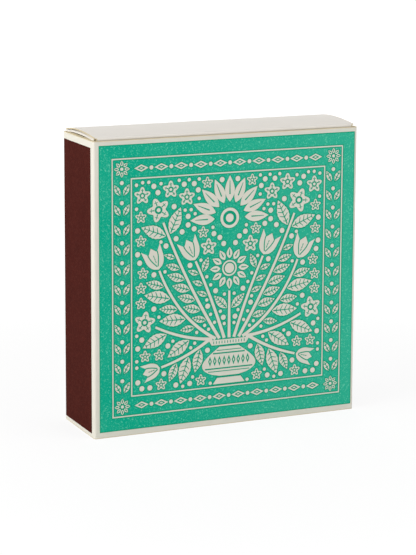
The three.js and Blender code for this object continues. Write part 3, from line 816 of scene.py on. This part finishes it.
    def urn(self):
        """Foot, body and lip, with bands and a row of diamonds on the body."""
        base = -self.inner[1] + 2 * self.rule_width
        tall, wide = self.urn_height, self.urn_width
        line = 0.7
        low, high = base + 0.14 * tall + line, base + 0.88 * tall - line
        t = np.linspace(0, 1, 17)
        half = wide / 2 * (0.36 + 0.64 * np.sin(math.pi * t**0.7))
        parts = [
            np.array([[0.3 * wide, base], [0.22 * wide, base + 0.14 * tall]]),
            np.stack([half, low + t * (high - low)], -1),
            np.array([[0.32 * wide, base + 0.88 * tall], [0.38 * wide, base + tall]]),
        ]
        for right in parts:
            wider = right + [self.rim, 0]
            wider[0, 1] -= self.rim
            wider[-1, 1] += self.rim
            self.opening(np.vstack([right, mirror(right)]), np.vstack([wider, mirror(wider)]))
            coarse = right[::2] if len(right) > 2 else right
            for x, y in coarse:
                self.take(*[(across, y, line) for across in np.arange(0, x, 2 * line)])
        for share, thick in ((0.16, 0.3), (0.26, 0.5), (0.78, 0.5), (0.88, 0.3)):
            y = low + share * (high - low)
            self.put("stroke", oblong((np.interp(share, t, half) - 0.8, thick / 2), (0, y)))
        for number in range(9):
            at = ((number - 4) * wide * 0.088, low + 0.52 * (high - low))
            self.put("stroke", diamond((0.72, 1.9)), at)
            self.put("core", diamond((0.3, 0.8)), at)
        for number in range(12):
            x = (number - 5.5) * wide * 0.052
            self.put("stroke", oblong((0.14, 0.5), (x, base + 0.94 * tall)))

    def bouquet(self):
        """Stems are quadratic curves from the urn's mouth; each starts at a share of the urn's width,
        leaves at an angle and ends at a tip given in shares of the picture's half sizes."""
        wide = self.stem_width
        mouth = -self.inner[1] + self.urn_height + 3 * self.rule_width
        stems = (
            (0, 90, (0, -0.1), "sun", 8),
            (0.09, 72, (0.35, 0.2), "tulip", 9),
            (0.18, 58, (0.68, 0.58), "daisy", 4.6),
            (0.25, 30, (0.72, 0.14), "tulip", 9),
            (0.31, 4, (0.76, -0.38), "daisy", 4.2),
            (0.36, -34, (0.7, -0.76), "tulip", 7.4),
        )
        curves = []
        for start, leaves, tip, bloom, size in stems:
            foot = np.array([start * self.urn_width, mouth])
            end = np.array(tip) * self.inner
            bend = foot + 0.5 * np.linalg.norm(end - foot) * unit(math.radians(leaves))
            t = np.linspace(0, 1, 21)[:, None]
            points = (1 - t) ** 2 * foot + 2 * t * (1 - t) * bend + t * t * end
            both = start > 0
            stem = strip(points, np.linspace(1.15, 0.8, 21) * wide)
            self.opening(stem, strip(points, wide + 2 * self.rim), both=both)
            self.take(*[(x, y, wide / 2) for x, y in points])
            way = points[-1] - points[-2]
            angle = math.atan2(way[1], way[0])
            ahead = lambda far: points[-1] + (wide / 2 + far) * unit(angle)
            if bloom == "tulip":
                self.tulip(ahead(0), angle, size, both)
                self.take((*ahead(0.36 * size), 0.36 * size), (*ahead(0.72 * size), 0.44 * size))
            else:
                at = ahead(size)
                self.take((*at, size))
                if bloom == "daisy":
                    self.daisy(at, angle, size, both)
                else:
                    self.sun(at, size)
            curves.append((points, both))
        for points, both in curves:
            self.leaves_along(points, both)

    def sun(self, at, radius):
        """Twelve petals about a ringed and dotted boss."""
        boss, petals = 0.46 * radius, 12
        for number in range(petals):
            angle = TAU * number / petals
            self.petal(at + boss * unit(angle), angle, radius - boss, 2.5 * math.pi * boss / petals)
        self.disc(at, 0.38 * radius)
        self.disc(at, 0.3 * radius, layer="stroke")
        self.disc(at, 0.24 * radius, layer="core")

    def leaves_along(self, points, both):
        step = np.linalg.norm(np.diff(points, axis=0), axis=1)
        pairs = int(step.sum() / self.leaf_spacing)
        share = np.linspace(0, 1, len(points))
        way = np.unwrap(np.arctan2(*np.gradient(points, axis=0).T[::-1]))
        for number in range(pairs):
            t = (number + 0.8) / (pairs + 0.1)
            at = np.array([np.interp(t, share, line) for line in points.T])
            for lean in (-1, 1) if both else (-1,):
                angle = float(np.interp(t, share, way)) + 0.8 * lean
                root = at + 1.2 * self.stem_width * unit(angle)
                for size in (1, 0.85, 0.7, 0.56, 0.44):
                    long, broad = size * self.leaf_length, size * self.leaf_width
                    rooms = self.leaf_rooms(root, angle, long, broad)
                    right = all(x > r + 0.2 for x, _, r in rooms[1:])
                    if right and self.free(rooms[1:]):
                        self.leaf(root, angle, long, broad, True)
                        self.take(*rooms)
                        break

    def fillings(self):
        """Small daisies and berries wherever one still fits, largest first."""
        for radius in (3.3, 2.3, 1.2, 0.8):
            for y in np.arange(0.8 - self.inner[1], self.inner[1], 0.8):
                for x in np.arange(radius + 0.4, self.inner[0], 0.8):
                    if self.free([(x, y, radius)]):
                        if radius > 2:
                            self.daisy(np.array([x, y]), math.pi / 2, radius, True)
                        else:
                            self.disc(np.array([x, y]), 0.85 * radius, True)
                        self.take((x, y, radius))


def print_mesh(settings):
    """The ink film: all outlines go into one triangulation. A triangle is ink if it lies in the field and
    in no window, or in a stroke of ink, and in no core; it lies in the dense rim if it is in a halo or
    near the field's edge. The film is those triangles at its face and again at its back."""
    low, high = box("front_print")
    half = (high - low)[[0, 2]] / 2 / MM
    made = Print(settings, half)
    for part in (made.frames, made.crest, made.urn, made.bouquet, made.fillings):
        part()
    names, outlines = ["field", "plain"], [oblong(half), oblong(half - made.rim)]
    for layer, parts in made.layers.items():
        names += [layer] * len(parts)
        outlines += parts
    ends = np.cumsum([len(o) for o in outlines])
    loops = [list(range(end - len(o), end)) for end, o in zip(ends, outlines)]
    points = [Vector(p) for p in np.concatenate(outlines)]
    flat, _, triangles, _, _, sources = delaunay_2d_cdt(points, [], loops, 0, 1e-5, True)
    inked, rim = [], []
    for corners, source in zip(triangles, sources):
        held = {names[i] for i in source}
        if "field" in held and ("window" not in held or "stroke" in held) and "core" not in held:
            inked.append(corners)
            beside = "halo" in held and "window" not in held
            rim.append(float(beside or "plain" not in held or "stroke" in held))
    flat = np.array(flat)
    centre = (low + high) / 2
    face = high[1] - settings.ink_depth
    count = len(flat)
    across, up = np.tile(flat.T * MM + centre[[0, 2], None], 2)
    whole = np.stack([across, np.repeat([face, high[1]], count), up], -1)
    inked = np.array(inked)
    edges = np.concatenate([inked[:, [0, 1]], inked[:, [1, 2]], inked[:, [2, 0]]])
    key = {tuple(e) for e in edges.tolist()}
    open_edges = np.array([e for e in edges.tolist() if (e[1], e[0]) not in key])
    first, second = open_edges.T
    skirt = np.stack([first, first + count, second + count, second], -1)
    faces = inked.tolist() + (inked[:, ::-1] + count).tolist() + skirt.tolist()
    mesh = bpy.data.meshes.new("ink_film")
    mesh.from_pydata(whole, [], faces)
    layer = mesh.attributes.new("rim", "FLOAT", "FACE")
    layer.data.foreach_set("value", np.array(rim + rim + [1.0] * len(skirt), np.float32))
    mesh.update()
    return mesh


# Operators, one for each piece or group of like pieces


class MATCHBOX_OT_sleeve(bpy.types.Operator):
    """Builds the card sleeve"""

    bl_idname = "matchbox.sleeve"
    bl_label = "Sleeve"

    def execute(self, context):
        settings = context.scene.matchbox_card
        material = card_material("sleeve_card", settings.sleeve_colour, settings.edge_colour)
        place_piece("sleeve_wrap", sleeve_mesh(settings), material, "sleeve", "sleeve_card", "sleeve")
        return {"FINISHED"}


class MATCHBOX_OT_print(bpy.types.Operator):
    """Builds the printed ink of the front"""

    bl_idname = "matchbox.print"
    bl_label = "Print"

    def execute(self, context):
        settings = context.scene.matchbox_print
        film, ink = print_mesh(settings), ink_material(settings)
        place_piece("ink_film", film, ink, "sleeve", "print_ink", "front_print")
        return {"FINISHED"}


class MATCHBOX_OT_strikers(bpy.types.Operator):
    """Dresses the two striking coats"""

    bl_idname = "matchbox.strikers"
    bl_label = "Striking coats"

    def execute(self, context):
        material = coat_material(context.scene.matchbox_coat)
        for node in ("left_striker", "right_striker"):
            dress(node, material)
        return {"FINISHED"}


class MATCHBOX_OT_tray(bpy.types.Operator):
    """Builds the folded card tray"""

    bl_idname = "matchbox.tray"
    bl_label = "Tray"

    def execute(self, context):
        settings = context.scene.matchbox_card
        material = card_material("tray_card", settings.tray_colour, settings.edge_colour)
        place_piece("folded_tray", tray_mesh(settings), material, "tray", "tray_card", "tray")
        return {"FINISHED"}


class MATCHBOX_OT_matches(bpy.types.Operator):
    """Builds the front layer of matches and the layers behind it"""

    bl_idname = "matchbox.matches"
    bl_label = "Matches"

    def execute(self, context):
        settings = context.scene.matchbox_match
        kinds = (
            (add_splint, "splint", "match_wood", wood_material(settings)),
            (add_head, "crown", "match_head", head_material(settings)),
        )
        rear = (Shell(), Shell())
        rear_low, rear_high = box("rear_matches")
        sticks = sorted(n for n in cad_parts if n.startswith("match_stick_"))
        for number, stick in enumerate(sticks):
            nodes = (stick, stick.replace("stick", "head"))
            boxes = [box(node) for node in nodes]
            for (add, name, slot, material), node, corners in zip(kinds, nodes, boxes):
                shell = Shell()
                add(shell, *corners, number)
                name = f"{name}_{number + 1:02d}"
                place_piece(name, shell.mesh(node + "_fine"), material, "tray", slot, node)
            foot, crown = boxes[0][0, 2], boxes[1][1, 2]
            for row in range(settings.layers):
                drop = 0.8 * MM * abs(math.sin(1.7 * number + row)) - (foot - rear_low[2])
                drop += min(0, rear_high[2] - crown - drop)
                shift = np.array([0, (row + 1) * settings.layer_pitch, drop])
                for (add, *_), shell, corners in zip(kinds, rear, boxes):
                    add(shell, *(corners + shift), 100 * (row + 1) + number)
        for (_, name, slot, material), shell in zip(kinds, rear):
            name = f"rear_{name}s"
            place_piece(name, shell.mesh(name), material, "tray", slot, "rear_matches")
        return {"FINISHED"}


class MATCHBOX_OT_stage(bpy.types.Operator):
    """Sets the camera, the studio light and the floor"""

    bl_idname = "matchbox.stage"
    bl_label = "Stage"

    def execute(self, context):
        settings = context.scene.matchbox_stage
        scene = context.scene
        turn, tilt, roll = -0.4214569, 0.1707242, 0.0046515
        back = Vector((math.sin(turn) * math.cos(tilt), -math.cos(turn) * math.cos(tilt), math.sin(tilt)))
        right = Vector((math.cos(turn), math.sin(turn), 0))
        up = back.cross(right)
        right, up = (
            right * math.cos(roll) + up * math.sin(roll),
            up * math.cos(roll) - right * math.sin(roll),
        )
        size, focal, rows, film = 0.11, 2022.6157, 555, 36
        away = Vector((0.0086176, -0.7344311, -7.0472962)) * size
        axes = Matrix((right, up, back)).transposed()
        lens = bpy.data.cameras.new("camera")
        lens.lens_unit = "MILLIMETERS"
        lens.sensor_fit = "VERTICAL"
        lens.sensor_height = film
        lens.lens = focal / rows * film
        lens.shift_y = -0.135
        camera = bpy.data.objects.new("camera", lens)
        camera.matrix_world = Matrix.Translation(-(axes @ away)) @ axes.to_4x4()
        scene.collection.objects.link(camera)
        scene.camera = camera

        middle = Vector((0, 0, 0.055))
        lights = (
            ("key", settings.key, (-0.72, -0.16, 0.26), 0.5),
            ("top", settings.top, (0.05, -0.12, 0.75), 0.6),
            ("fill", settings.fill, (0.42, -0.52, 0.25), 0.5),
            ("back", settings.back, (0.35, 0.80, 0.35), 0.6),
        )
        for name, power, at, wide in lights:
            lamp = bpy.data.lights.new(name, "AREA")
            lamp.energy, lamp.size, lamp.shape = power, wide, "SQUARE"
            made = bpy.data.objects.new(name, lamp)
            made.location = at
            made.rotation_euler = (Vector(at) - middle).to_track_quat("Z", "Y").to_euler()
            scene.collection.objects.link(made)

        world = bpy.data.worlds.new("studio")
        scene.world = world
        world.use_nodes = True
        sky = Shader("sky", world.node_tree)
        seen = sky.node("ShaderNodeLightPath", output="Is Camera Ray")
        lit = sky.node("ShaderNodeBackground", None, {"Color": (1, 1, 1), "Strength": settings.sky})
        white = sky.node("ShaderNodeBackground", None, {"Color": (1, 1, 1), "Strength": 1})
        whole = sky.node("ShaderNodeMixShader", None, {0: seen, 1: lit, 2: white})
        sky.node("ShaderNodeOutputWorld", None, {"Surface": whole})

        ground = Shader("floor")
        seen = ground.node("ShaderNodeLightPath", output="Is Camera Ray")
        across, deep = ground.axis("X"), ground.axis("Y")
        far = (across * across + deep * deep).math("SQRT").between(0.1, 0.45)
        matt = ground.node("ShaderNodeBsdfDiffuse", None, {"Color": settings.floor_colour})
        glow = ground.node("ShaderNodeEmission", None, {"Color": (1, 1, 1), "Strength": 1.15})
        both = ground.node("ShaderNodeMixShader", None, {0: seen * (far * 0.25 + 0.75), 1: matt, 2: glow})
        ground.node("ShaderNodeOutputMaterial", None, {"Surface": both})
        plane = bpy.data.meshes.new("floor")
        plane.from_pydata([(-4, -4, 0), (4, -4, 0), (4, 4, 0), (-4, 4, 0)], [], [(0, 1, 2, 3)])
        plane.materials.append(ground.material)
        floor = bpy.data.objects.new("floor", plane)
        scene.collection.objects.link(floor)

        scene.view_settings.view_transform = "Standard"
        return {"FINISHED"}


class MATCHBOX_PT_panel(bpy.types.Panel):
    """Sizes and colours, and a button for each group of pieces"""

    bl_label = "Matchbox"
    bl_idname = "MATCHBOX_PT_panel"
    bl_space_type = "VIEW_3D"
    bl_region_type = "UI"
    bl_category = "Matchbox"

    def draw(self, context):
        for group, operators in GROUPS:
            column = self.layout.box()
            settings = getattr(context.scene, group)
            for name in type(settings).__annotations__:
                column.prop(settings, name)
            for operator in operators:
                column.operator(operator)


GROUPS = (
    ("matchbox_card", ("matchbox.sleeve", "matchbox.tray")),
    ("matchbox_print", ("matchbox.print",)),
    ("matchbox_coat", ("matchbox.strikers",)),
    ("matchbox_match", ("matchbox.matches",)),
    ("matchbox_stage", ("matchbox.stage",)),
)
SETTINGS = (CardSettings, PrintSettings, CoatSettings, MatchSettings, StageSettings)
CLASSES = (
    *SETTINGS,
    MATCHBOX_OT_sleeve,
    MATCHBOX_OT_print,
    MATCHBOX_OT_strikers,
    MATCHBOX_OT_tray,
    MATCHBOX_OT_matches,
    MATCHBOX_OT_stage,
    MATCHBOX_PT_panel,
)


def register():
    for kind in CLASSES:
        bpy.utils.register_class(kind)
    for (name, _), kind in zip(GROUPS, SETTINGS):
        setattr(bpy.types.Scene, name, bpy.props.PointerProperty(type=kind))


def unregister():
    for name, _ in GROUPS:
        delattr(bpy.types.Scene, name)
    for kind in reversed(CLASSES):
        bpy.utils.unregister_class(kind)


def main():
    """Registers the classes and builds every piece."""
    register()
    bpy.ops.matchbox.sleeve()
    bpy.ops.matchbox.print()
    bpy.ops.matchbox.strikers()
    bpy.ops.matchbox.tray()
    bpy.ops.matchbox.matches()
    bpy.ops.matchbox.stage()


if __name__ == "__main__":
    main()
